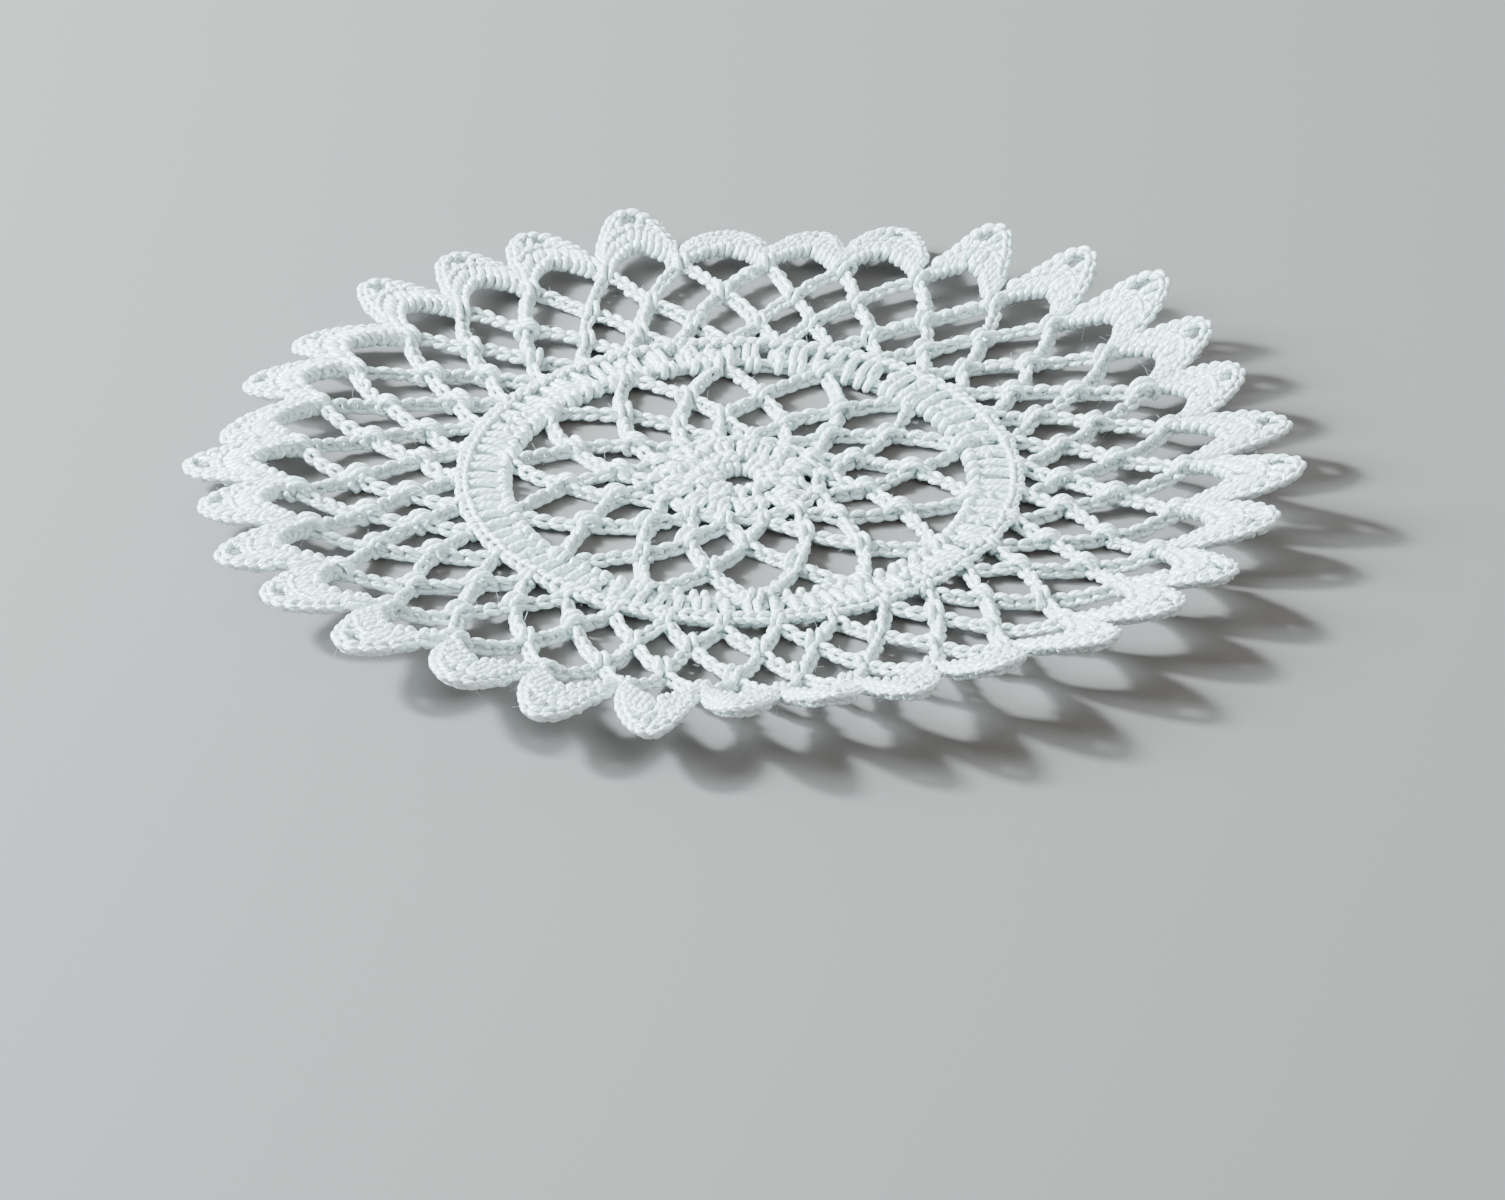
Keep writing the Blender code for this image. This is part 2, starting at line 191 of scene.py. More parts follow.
@dataclass(frozen=True)
class Layout:
    """The flat layout of the scallops, with the sizes of the solid, and the way it all lies."""

    flat_radius: float = 0.0405
    brim_start: float = 0.0500
    brim_full: float = 0.0560
    brim_end: float = 0.0600
    curl_full: float = 0.0660
    outside: float = 0.0900
    brim_slope: float = math.radians(14.0)
    brim_lean: float = math.radians(9.0)
    pull: float = math.radians(5.2)
    pull_angle: float = math.radians(246.0)
    pull_span: float = math.radians(48.0)
    pull_start: float = 0.0371
    pull_full: float = 0.0550
    ripple_height: float = 0.0009
    ripple_mean: float = 0.5
    ripples: tuple[Triple, ...] = ((0.3, 5.0, 0.8), (0.2, 11.0, 2.0))
    middle: Pair = (-0.0003, 0.0005)
    first_scallop: float = 2.0
    plain_reach: float = 0.0140
    notch_out: float = 0.0045
    loop_half: tuple[Pair, ...] = ((0.0042, 0.0028), (0.0024, 0.0050))
    loop_peak: float = 0.0064
    rim_half: tuple[Pair, ...] = ((0.0054, 0.0068), (0.0044, 0.0098), (0.0026, 0.0128))
    crown_half: tuple[Pair, ...] = ((0.0050, 0.0052), (0.0040, 0.0074), (0.0022, 0.0090))
    crown_peak: float = 0.0096

    def curl_at(self, angle: np.ndarray) -> np.ndarray:
        """Return the curl in radians at some angles, eased from one scallop to the next."""
        place = (angle - OUTER.phase) / OUTER.pitch - self.first_scallop
        low = np.floor(place).astype(int)
        ease = 0.5 - 0.5 * np.cos(math.pi * (place - low))
        curls = np.array([scallop.curl for scallop in SCALLOPS])
        here = curls[low % OUTER.arches]
        there = curls[(low + 1) % OUTER.arches]
        return np.radians(here + (there - here) * ease)

    def pulled(self, radius: np.ndarray, angle: np.ndarray) -> np.ndarray:
        """Return the angles to which the slack outer net is pulled round."""
        away = (angle - self.pull_angle + math.pi) % TURN - math.pi
        near = np.cos(0.5 * math.pi * np.minimum(np.abs(away) / self.pull_span, 1.0)) ** 2
        return angle + self.pull * near * eased(radius, self.pull_start, self.pull_full)

    def drape(self, flat: np.ndarray, up: np.ndarray) -> np.ndarray:
        """Lay points of the flat sheet where the doily really has them.

        Going outwards the sheet is flat, bends up into the brim and then into the curl of
        the scallop.  Each of these stretches is an arc, and its chord is a little shorter.

        Args:
            flat: the points' x and y in the flat layout.
            up: their heights over the sheet's underside.

        Returns:
            The points in space, one a row.
        """
        radius = np.hypot(flat[:, 0], flat[:, 1])
        angle = np.arctan2(flat[:, 1], flat[:, 0])
        brim = self.brim_slope - self.brim_lean * np.sin(angle)
        curl = self.curl_at(angle)
        stretches = (
            (self.brim_start, self.brim_full, brim),
            (self.brim_full, self.brim_end, brim),
            (self.brim_end, self.curl_full, curl),
            (self.curl_full, self.outside, curl),
        )
        swell = self.ripple_mean + waves(angle, self.ripples)
        rise = self.ripple_height * swell * eased(radius, self.flat_radius, self.brim_start)
        out = np.minimum(radius, self.brim_start)
        slope = np.zeros(len(radius))
        for start, end, aim in stretches:
            past = np.clip(radius - start, 0.0, end - start)
            turn = (aim - slope) * past / (end - start)
            chord = past * (1.0 - turn * turn / 24.0)
            out += chord * np.cos(slope + 0.5 * turn)
            rise += chord * np.sin(slope + 0.5 * turn)
            slope += turn
        out -= up * np.sin(slope)
        rise += up * np.cos(slope)
        around = self.pulled(radius, angle)
        x = self.middle[0] + out * np.cos(around)
        y = self.middle[1] + out * np.sin(around)
        return np.stack((x, y, rise), axis=1)

    def scallop_line(self, index: int, rows: Sequence[Pair], peak: float) -> list[np.ndarray]:
        """Return a line of points over a scallop, from its first foot to its second.

        Args:
            index: the scallop.
            rows: the line's first half, as pairs of across and out from the feet.
            peak: how far out the line's middle point stands.

        Returns:
            The points in the flat layout.
        """
        scallop = SCALLOPS[index]
        middle = OUTER.phase + (index + self.first_scallop) * OUTER.pitch
        half = [(-across, out) for across, out in rows]
        points = []
        for across, out in (*half, (0.0, peak), *reversed(rows)):
            radius = OUTER.rounds[-1].top + out * self.stretch_of(index)
            lean = math.radians(scallop.lean) * out / self.plain_reach
            points.append(polar(radius, middle + lean + across * scallop.width / radius))
        return points

    def stretch_of(self, index: int) -> float:
        """Return how far a scallop reaches beside the plain one."""
        return SCALLOPS[index].reach * MM / self.plain_reach

    def notch(self, index: int) -> np.ndarray:
        """Return the point of the rim between a scallop and the one before it."""
        angle = OUTER.phase + (index + self.first_scallop - 0.5) * OUTER.pitch
        stretch = 0.5 * (self.stretch_of(index - 1) + self.stretch_of(index))
        return polar(OUTER.rounds[-1].top + self.notch_out * stretch, angle)


LAYOUT = Layout()


# --------------------------------------------------------------------------- lines


def smooth(points: np.ndarray, closed: bool, steps: int) -> np.ndarray:
    """Draw a smooth curve through points, a Catmull-Rom spline.

    Args:
        points: the points, one a row.
        closed: whether the curve runs back to its first point.
        steps: how many short steps it takes from each point to the next.

    Returns:
        The curve's points, without the first one again at a closed curve's end.
    """
    if closed:
        padded = np.vstack((points[-1:], points, points[:2]))
    else:
        first = 2.0 * points[:1] - points[1:2]
        last = 2.0 * points[-1:] - points[-2:-1]
        padded = np.vstack((first, points, last))
    a, b, c, d = (padded[shift:len(padded) - 3 + shift, None, :] for shift in range(4))
    t = (np.arange(steps) / steps)[None, :, None]
    bend = (2.0 * a - 5.0 * b + 4.0 * c - d) * t ** 2 + (3.0 * b - a - 3.0 * c + d) * t ** 3
    curve = 0.5 * (2.0 * b + (c - a) * t + bend)
    curve = curve.reshape(-1, points.shape[1])
    return curve if closed else np.vstack((curve, points[-1:]))


class Route:
    """A smooth line in the flat layout that is walked by its length.

    STEPS are drawn from point to point, and its heading is taken over REACH to both sides.
    """

    STEPS = 10
    REACH = 0.2 * MM

    def __init__(self, points: Sequence[np.ndarray], closed: bool = False) -> None:
        """Draw the line.

        Args:
            points: the points of the flat layout that it passes.
            closed: whether it runs back to the first of them.
        """
        line = smooth(np.array(points), closed, self.STEPS)
        self.line = np.vstack((line, line[:1])) if closed else line
        self.closed = closed
        steps = np.linalg.norm(np.diff(self.line, axis=0), axis=1)
        self.places = np.concatenate(((0.0,), np.cumsum(steps)))
        self.length = float(self.places[-1])

    def point(self, along: np.ndarray) -> np.ndarray:
        """Return the points at some lengths along the line."""
        place = along % self.length if self.closed else np.clip(along, 0.0, self.length)
        columns = [np.interp(place, self.places, self.line[:, axis]) for axis in (0, 1)]
        return np.stack(columns, axis=1)

    def beside(self, along: np.ndarray, across: np.ndarray) -> np.ndarray:
        """Return points beside the line.

        Args:
            along: the lengths along the line.
            across: how far to its left each point lies.

        Returns:
            The points in the flat layout.
        """
        tangent = self.point(along + self.REACH) - self.point(along - self.REACH)
        tangent /= np.maximum(np.linalg.norm(tangent, axis=1, keepdims=True), TINY)
        left = np.stack((-tangent[:, 1], tangent[:, 0]), axis=1)
        return self.point(along) + left * across[:, None]


CIRCLE_POINTS = 72


def circle_route(radius: float, phase: float) -> Route:
    """Return a round route about the doily's middle, which starts at an angle."""
    angles = phase + np.arange(CIRCLE_POINTS) * TURN / CIRCLE_POINTS
    return Route([polar(radius, angle) for angle in angles], closed=True)


# --------------------------------------------------------------------------- thread


@dataclass(frozen=True)
class Yarn:
    """The plied thread: its size and how finely its lines are drawn."""

    radius: float = 0.00045
    sides: int = 6
    longest_step: float = 0.00095
    sharpest_turn: float = math.radians(58.0)

    def section(self, name: str) -> bpy.types.Object:
        """Return the closed curve that is the thread's section."""
        curve = bpy.data.curves.new(name, "CURVE")
        curve.dimensions = "2D"
        curve.fill_mode = "NONE"
        spline = curve.splines.new("POLY")
        spline.points.add(self.sides - 1)
        for index, point in enumerate(spline.points):
            angle = TURN * index / self.sides
            point.co = (self.radius * math.cos(angle), self.radius * math.sin(angle), 0.0, 1.0)
        spline.use_cyclic_u = True
        thing = bpy.data.objects.new(name, curve)
        bpy.context.scene.collection.objects.link(thing)
        return thing


YARN = Yarn()
FIBRE = Yarn(radius=0.000020, sides=3, longest_step=0.0006, sharpest_turn=1.0)


@dataclass
class Run:
    """A stretch of thread: its points, the length to each and in all, if it closes, its gauge."""

    points: np.ndarray
    places: np.ndarray
    length: float
    closed: bool
    gauge: float


class Thread:
    """All the thread of one piece, gathered as runs and then spun into a mesh.

    It also holds the source of the unevenness of the hand that works the piece.  REST is how
    softly a line that would sink under the sheet is held up, and WELD joins the caps.
    """

    FINE = 6
    FEWEST = 4
    REST = 0.12 * MM
    WELD = 0.001 * MM

    def __init__(self, name: str, seed: int, yarn: Yarn) -> None:
        """Start a piece with no thread in it.

        Args:
            name: the piece's name.
            seed: the number from which its unevenness starts.
            yarn: the thread that it is worked from.
        """
        self.name = name
        self.yarn = yarn
        self.rng = np.random.default_rng(seed)
        self.runs: list[Run] = []

    @property
    def length(self) -> float:
        """Return the length of all the thread so far."""
        return sum(run.length for run in self.runs)

    def slip(self, size: float) -> float:
        """Return a random slip of the hand of about a size, to either side."""
        return size * self.rng.normal(0.0, 1.0)

    def lay(
        self, flat: np.ndarray, up: np.ndarray, closed: bool = False, gauge: float = 1.0
    ) -> None:
        """Drape a line of the flat layout and lay the thread along it, never under the sheet.

        Args:
            flat: the x and y of the points that the thread passes.
            up: their heights over the sheet's underside.
            closed: whether the thread runs back to the first of them.
            gauge: how thick the thread is beside the plain one.
        """
        low = self.yarn.radius * gauge
        rest = low + 0.5 * (up - low + np.sqrt((up - low) ** 2 + self.REST ** 2))
        self.run(LAYOUT.drape(flat, rest), closed, gauge)

    def run(self, points: np.ndarray, closed: bool = False, gauge: float = 1.0) -> None:
        """Lay the thread through points in space, with more of its points where it bends.

        Args:
            points: the points that the thread passes.
            closed: whether it runs back to the first of them.
            gauge: how thick it is beside the plain one.
        """
        line = smooth(points, closed, self.FINE)
        line[:, 2] = np.maximum(line[:, 2], self.yarn.radius * gauge)
        if closed:
            line = np.vstack((line, line[:1]))
        steps = np.diff(line, axis=0)
        lengths = np.linalg.norm(steps, axis=1)
        heading = steps / np.maximum(lengths, TINY)[:, None]
        cosines = np.clip((heading[1:] * heading[:-1]).sum(axis=1), -1.0, 1.0)
        turns = np.concatenate(((0.0,), np.arccos(cosines)))
        worth = lengths / self.yarn.longest_step + turns / self.yarn.sharpest_turn
        total = np.concatenate(((0.0,), np.cumsum(worth)))
        far = np.concatenate(((0.0,), np.cumsum(lengths)))
        count = max(self.FEWEST, math.ceil(total[-1]))
        marks = np.linspace(0.0, total[-1], count + 1)
        kept = np.stack([np.interp(marks, total, line[:, axis]) for axis in range(3)], axis=1)
        places = np.interp(marks, total, far)
        if closed:
            kept = kept[:-1]
            places = places[:-1]
        self.runs.append(Run(kept, places, float(far[-1]), closed, gauge))

    def spin(self) -> bpy.types.Object:
        """Give every run the thread's section and return them as one mesh object."""
        section = self.yarn.section(self.name + "_section")
        curve = bpy.data.curves.new(self.name + "_line", "CURVE")
        curve.dimensions = "3D"
        curve.bevel_mode = "OBJECT"
        curve.bevel_object = section
        curve.use_fill_caps = True
        curve.twist_mode = "MINIMUM"
        for run in self.runs:
            spline = curve.splines.new("POLY")
            count = len(run.points)
            spline.points.add(count - 1)
            places = np.hstack((run.points, np.ones((count, 1))))
            spline.points.foreach_set("co", places.ravel())
            spline.points.foreach_set("radius", np.full(count, run.gauge))
            spline.use_cyclic_u = run.closed
        guide = bpy.data.objects.new(self.name + "_line", curve)
        bpy.context.scene.collection.objects.link(guide)
        graph = bpy.context.evaluated_depsgraph_get()
        mesh = bpy.data.meshes.new_from_object(guide.evaluated_get(graph), depsgraph=graph)
        mesh.name = self.name
        self.measure_along(mesh)
        self.close_ends(mesh)
        for thing in (guide, section):
            bpy.data.objects.remove(thing, do_unlink=True)
        piece = bpy.data.objects.new(self.name, mesh)
        bpy.context.scene.collection.objects.link(piece)
        return piece

    def measure_along(self, mesh: bpy.types.Mesh) -> None:
        """Set the mesh's UV map to the length along the thread and the turn about it.

        The caps of the open runs come before the runs' own points, from the last run to the
        first, each run's end before its start.  Where a face closes the turn, or a closed run,
        its far corners are measured on past the whole.

        Args:
            mesh: the spun thread.
        """
        sides = self.yarn.sides
        caps = [np.array((run.length, 0.0)) for run in reversed(self.runs) if not run.closed]
        ends = [np.full(2, run.length) for run in reversed(self.runs) if not run.closed]
        wholes = ends + [np.full(len(run.places), run.length) for run in self.runs]
        along = np.repeat(np.concatenate(caps + [run.places for run in self.runs]), sides)
        whole = np.repeat(np.concatenate(wholes), sides)
        if len(along) != len(mesh.vertices):
            raise ValueError(f"{self.name}: {len(along)} points, not {len(mesh.vertices)}")
        around = np.tile(np.arange(sides) / sides, len(along) // sides)
        corners = np.empty(len(mesh.loops), dtype=np.int32)
        mesh.loops.foreach_get("vertex_index", corners)
        starts = np.empty(len(mesh.polygons), dtype=np.int32)
        mesh.polygons.foreach_get("loop_start", starts)
        counts = np.diff(np.append(starts, len(corners)))
        u = along[corners]
        v = around[corners]
        furthest = np.repeat(np.maximum.reduceat(u, starts), counts)
        u = np.where(furthest - u > 0.5 * whole[corners], u + whole[corners], u)
        last = np.repeat(np.maximum.reduceat(v, starts), counts)
        v = np.where((v == 0.0) & (last > 1.0 - 1.5 / sides), 1.0, v)
        layer = mesh.uv_layers[0]
        layer.name = "thread"
        values = np.stack((u / MM, v), axis=1)
        layer.data.foreach_set("uv", values.astype(np.float32).ravel())

    def close_ends(self, mesh: bpy.types.Mesh) -> None:
        """Join the caps to the ends of the thread.

        Args:
            mesh: the spun thread.
        """
        work = bmesh.new()
        work.from_mesh(mesh)
        bmesh.ops.remove_doubles(work, verts=work.verts[:], dist=self.WELD)
        bmesh.ops.recalc_face_normals(work, faces=work.faces[:])
        for face in work.faces:
            face.smooth = True
        work.to_mesh(mesh)
        work.free()


# --------------------------------------------------------------------------- stitches


def turned(first: Any, second: Any, angle: Any) -> tuple[Any, Any]:
    """Return two coordinates of some points, turned by an angle from the first axis."""
    cosine = np.cos(angle)
    sine = np.sin(angle)
    return first * cosine - second * sine, first * sine + second * cosine


@dataclass(frozen=True)
class Row:
    """How a row of chain lies.

    It has its number of stitches, its rolls in radians at the start and the end, the height of
    its middle line, the thread's gauge, the stretch of the route that it takes, as shares, and
    the tuck: how far both ends run on, low, under the stitches that they join.
    """

    stitches: int
    rolls: Pair
    height: float = 0.00112
    gauge: float = 1.0
    span: Pair = (0.0, 1.0)
    tuck: float = 0.0


@dataclass(frozen=True)
class Chain:
    """Chain stitches: loops that lie over each other in a row of small Vs.

    The rows of LEG and BACK are lengths along in stitches, half widths across, and
    millimetres up from the row's middle line.  LAST is how much of a stitch an open row runs on.
    """

    half_width: float = 0.00056
    loft: float = 0.86
    uneven: float = 0.09

    LEG = (
        (0.00, 0.10, -0.44), (0.24, 0.12, -0.04), (0.50, 0.46, 0.38),
        (0.80, 0.90, 0.54), (1.12, 1.04, 0.38), (1.38, 0.66, 0.00),
    )
    HEAD = (1.52, 0.0, -0.24)
    BACK = ((0.02, -0.20, -0.80), (0.50, 0.00, -0.94), (0.94, 0.20, -0.80))
    LAST = 0.52
    SWING = 0.10
    TUCK_LOW = 0.45 * MM

    def stitch(self) -> np.ndarray:
        """Return the turns of one stitch, from the foot of its loop to the next foot."""
        far_side = [(along, -across, up) for along, across, up in reversed(self.LEG)]
        return np.array([*self.LEG, self.HEAD, *far_side, *self.BACK])

    def work(self, thread: Thread, route: Route, row: Row) -> None:
        """Work a row of chain stitches along a route.

        Args:
            thread: the piece's thread.
            route: the line that the row follows.
            row: how the row lies.
        """
        turns = self.stitch()
        start = row.span[0] * route.length
        usable = (row.span[1] - row.span[0]) * route.length
        pitch = usable / (row.stitches if route.closed else row.stitches + self.LAST)
        worked = []
        for index in range(row.stitches):
            size = 1.0 + thread.slip(self.uneven)
            shift = thread.slip(0.5 * self.uneven)
            swing = thread.slip(self.SWING)
            along = (turns[:, 0] + index + shift) * pitch + start
            across = (turns[:, 1] * size + swing) * self.half_width
            worked.append((along, across, turns[:, 2] * self.loft * MM * (0.5 + 0.5 * size)))
        along, across, up = np.concatenate(worked, axis=1)
        share = (along - start) / usable
        roll = row.rolls[0] + (row.rolls[1] - row.rolls[0]) * share
        across, up = turned(across, up, roll)
        flat = route.beside(along, across)
        up += row.height
        if row.tuck:
            first = flat[0] - unit(flat[1] - flat[0]) * row.tuck
            last = flat[-1] + unit(flat[-1] - flat[-2]) * row.tuck
            low = (row.height - self.TUCK_LOW,)
            flat = np.vstack((first, flat, last))
            up = np.concatenate((low, up, low))
        thread.lay(flat, up, route.closed, row.gauge)


@dataclass(frozen=True)
class Post:
    """A tall stitch: two strands that twist about each other, hooked over a cord at the foot.

    HOOK_MM holds lengths along and heights of the turns round the cord.  A belt is a slanting
    wrap, which a share of the stitches has, and BELT_SPAN is where along the stitch it lies.
    """

    height: float = 0.00125
    bulge: float = 0.0
    spread: float = 0.00036
    flare: float = 0.0
    start: float = 1.0
    twist: float = 0.3
    gauge: float = 1.1
    hook: float = 1.0
    uneven: float = 0.35
    belts: float = 0.0

    HOOK_MM = ((-0.45, 0.78), (-1.02, 0.48), (-1.25, -0.10), (-0.95, -0.62), (-0.25, -0.72))
    STEP = 0.6 * MM
    FULLNESS = 0.12
    SHOULDER = 0.8
    BELT_SPAN = (0.25, 0.60)
    BELT_RADIUS = 0.60 * MM
    BELT_RISE = 1.00 * MM
    BELT_STEPS = 8

    def work(self, thread: Thread, foot: np.ndarray, head: np.ndarray) -> None:
        """Work one tall stitch from its foot to its head.

        Args:
            thread: the piece's thread.
            foot: where it stands in the flat layout.
            head: where its top lies there.
        """
        length = float(np.linalg.norm(head - foot))
        ahead = (head - foot) / length
        left = np.array((-ahead[1], ahead[0]))
        shares = np.linspace(0.0, 1.0, max(3, round(length / self.STEP)) + 1)
        turns = self.start + thread.slip(self.uneven) + TURN * self.twist * shares
        size = 1.0 + thread.slip(self.FULLNESS)
        rise = self.bulge * size * np.sin(math.pi * shares) ** self.SHOULDER
        points = list(zip(shares, turns, rise))
        rows = [self.strand(length, share, turn + math.pi, up) for share, turn, up in points[::-1]]
        side = rows[-1][1]
        first, last = self.HOOK_MM[0][1], self.HOOK_MM[-1][1]
        for along, up in self.HOOK_MM:
            ease = (first - up) / (first - last)
            rows.append((along * MM * self.hook, side * (1.0 - 2.0 * ease), up * MM * self.hook))
        belted = thread.rng.uniform() < self.belts
        belt_at = thread.rng.uniform(*self.BELT_SPAN) if belted else math.inf
        for share, turn, up in points:
            if share > belt_at:
                rows += self.belt(belt_at * length, turn, up)
                belt_at = math.inf
            rows.append(self.strand(length, share, turn, up))
        table = np.array(rows)
        flat = foot + table[:, :1] * ahead + table[:, 1:2] * left
        thread.lay(flat, table[:, 2] + self.height, gauge=self.gauge)

    def strand(self, length: float, share: float, turn: float, rise: float) -> Triple:
        """Return a strand's place along, across and up, at a share of the stitch's length."""
        side = self.spread * (1.0 + self.flare * share) * math.cos(turn)
        return share * length, side, self.spread * math.sin(turn) + rise

    def belt(self, place: float, turn: float, rise: float) -> list[Triple]:
        """Return one slanting wrap of the strand round the stitch.

        Args:
            place: how far up the stitch it starts.
            turn: the strand's angle about the stitch there.
            rise: how high the stitch bulges there.

        Returns:
            Rows of lengths along, across and up.
        """
        rows = []
        for step in range(1, self.BELT_STEPS):
            share = step / self.BELT_STEPS
            swell = math.sin(math.pi * share) ** 0.5
            radius = self.spread + (self.BELT_RADIUS - self.spread) * swell
            angle = turn + TURN * share
            along = place + self.BELT_RISE * (share - 0.5)
            rows.append((along, radius * math.cos(angle), radius * math.sin(angle) + rise))
        return rows


@dataclass(frozen=True)
class PostRound:
    """A round of tall stitches: how many, their feet and heads, and how unevenly they stand.

    The offset and the wander are in stitches, and the lag of the feet and the sway of the
    heads, with its slip, are angles round the doily.
    """

    stitches: int
    foot: float
    head: float
    offset: float
    wander: float
    reach_slip: float
    sway: Pair
    lag: float = 0.0

    def work(self, thread: Thread, post: Post, index: int, phase: float) -> float:
        """Work one stitch of the round.

        Args:
            thread: the piece's thread.
            post: the kind of stitch.
            index: the stitch's place in the round.
            phase: the angle at which the round starts.

        Returns:
            The angle at which the stitch stands.
        """
        place = index + self.offset + thread.slip(self.wander)
        angle = phase + place * TURN / self.stitches
        reach = self.head + thread.slip(self.reach_slip)
        sway = self.sway[0] + thread.slip(self.sway[1])
        post.work(thread, polar(self.foot, angle - self.lag), polar(reach, angle + sway))
        return angle


@dataclass(frozen=True)
class Knot:
    """A low stitch that ties two arches to the top of the arch below them.

    The rows of TURNS_MM are outwards, round and up, from the middle of the arch's row.
    """

    height: float = 0.00128

    TURNS_MM = (
        (0.65, -0.70, -0.86), (1.32, -0.95, -0.08), (0.95, -0.85, 0.85),
        (0.05, -0.62, 1.18), (-0.85, -0.45, 0.78), (-1.18, -0.30, 0.00),
        (-0.80, -0.15, -0.72), (0.15, -0.05, -0.88), (1.05, 0.00, -0.45),
        (1.25, 0.18, 0.40), (0.70, 0.36, 1.08), (-0.20, 0.48, 1.18),
        (-0.98, 0.52, 0.62), (-1.12, 0.42, -0.20), (-0.60, 0.30, -0.85),
        (0.40, 0.35, -0.88), (1.10, 0.62, -0.52), (1.42, 0.95, 0.12),
        (0.95, 1.02, -0.62), (0.40, 0.75, -0.90),
    )
    LOOSENESS = 0.06 * MM
    SWING = 0.30

    def work(self, thread: Thread, place: np.ndarray, size: float) -> None:
        """Tie one knot.

        Args:
            thread: the piece's thread.
            place: where it lies in the flat layout.
            size: how large it is beside the plain one.
        """
        turns = np.array(self.TURNS_MM) * MM * size
        turns += thread.rng.normal(0.0, self.LOOSENESS, turns.shape)
        outward = np.array(turned(*unit(place), thread.slip(self.SWING)))
        around = np.array((-outward[1], outward[0]))
        flat = place + turns[:, :1] * outward + turns[:, 1:2] * around
        thread.lay(flat, turns[:, 2] + self.height)


CHAIN = Chain()
KNOT = Knot()


# --------------------------------------------------------------------------- materials


def operator(operation: str, reflected: bool = False) -> Callable[["Socket", Any], "Socket"]:
    """Return the method of a Python operator that adds a Math node.

    Args:
        operation: the node's operation.
        reflected: whether the socket stands on the operator's right.

    Returns:
        The method.
    """

    def method(self: "Socket", other: Any) -> "Socket":
        """Return the Math node's result."""
        return self.maths(operation, *((other, self) if reflected else (self, other)))

    return method


class Socket:
    """A shader socket that takes part in Python expressions."""

    def __init__(self, tree: "Tree", socket: bpy.types.NodeSocket) -> None:
        """Wrap a socket of a tree."""
        self.tree = tree
        self.socket = socket

    def maths(self, operation: str, *values: Any) -> "Socket":
        """Return a Math node's result for one or two sockets or numbers."""
        return self.tree.node("ShaderNodeMath", {"operation": operation}, dict(enumerate(values)))

    def function(self, operation: str) -> "Socket":
        """Return a Math node's function of this socket alone."""
        return self.maths(operation, self)

    __add__ = operator("ADD")
    __radd__ = operator("ADD", reflected=True)
    __sub__ = operator("SUBTRACT")
    __rsub__ = operator("SUBTRACT", reflected=True)
    __mul__ = operator("MULTIPLY")
    __rmul__ = operator("MULTIPLY", reflected=True)
    __pow__ = operator("POWER")
    __rpow__ = operator("POWER", reflected=True)


class Tree:
    """A material's node tree, with one way to make a node.

    The sockets of a Mix node that blends colours are known by their numbers.
    """

    MIX_INPUTS = (0, 6, 7)
    MIX_OUTPUT = 2

    def __init__(self, name: str) -> None:
        """Start a material with its Principled shader.

        Args:
            name: the material's name.
        """
        self.material = bpy.data.materials.new(name)
        self.material.use_nodes = True
        self.tree = self.material.node_tree
        self.shader = self.tree.nodes["Principled BSDF"]

    def node(
        self,
        kind: str,
        settings: dict[str, Any] | None = None,
        inputs: dict[Any, Any] | None = None,
        output: int | str = 0,
    ) -> Socket:
        """Make a node.

        Args:
            kind: the node's type.
            settings: its own settings, which are set first.
            inputs: the values or links of its sockets, by name or number.
            output: the socket that is returned.

        Returns:
            One of the node's outputs.
        """
        made = self.tree.nodes.new(kind)
        for name, value in (settings or {}).items():
            setattr(made, name, value)
        self.feed(made, inputs or {})
        return Socket(self, made.outputs[output])

    def feed(self, node: bpy.types.Node, inputs: dict[Any, Any]) -> None:
        """Link or set the sockets of a node.

        Args:
            node: the node.
            inputs: the values or links of its sockets, by name or number.
        """
        for name, value in inputs.items():
            if isinstance(value, Socket):
                self.tree.links.new(value.socket, node.inputs[name])
            else:
                node.inputs[name].default_value = value

    def blend(self, share: Socket, first: Any, second: Any) -> Socket:
        """Return a colour between two colours."""
        inputs = dict(zip(self.MIX_INPUTS, (share, first, second)))
        return self.node("ShaderNodeMix", {"data_type": "RGBA"}, inputs, self.MIX_OUTPUT)

    def noise(self, place: Socket, scale: float, detail: float) -> Socket:
        """Return a noise between 0 and 1 at a place."""
        inputs = {"Vector": place, "Scale": scale, "Detail": detail}
        return self.node("ShaderNodeTexNoise", inputs=inputs)

    def place(self) -> Socket:
        """Return the place on the piece itself."""
        return self.node("ShaderNodeTexCoord", output="Object")

    def split(self, place: Socket) -> tuple[Socket, Socket]:
        """Return a place's first two coordinates."""
        first = self.node("ShaderNodeSeparateXYZ", inputs={0: place})
        return first, Socket(self, first.socket.node.outputs[1])


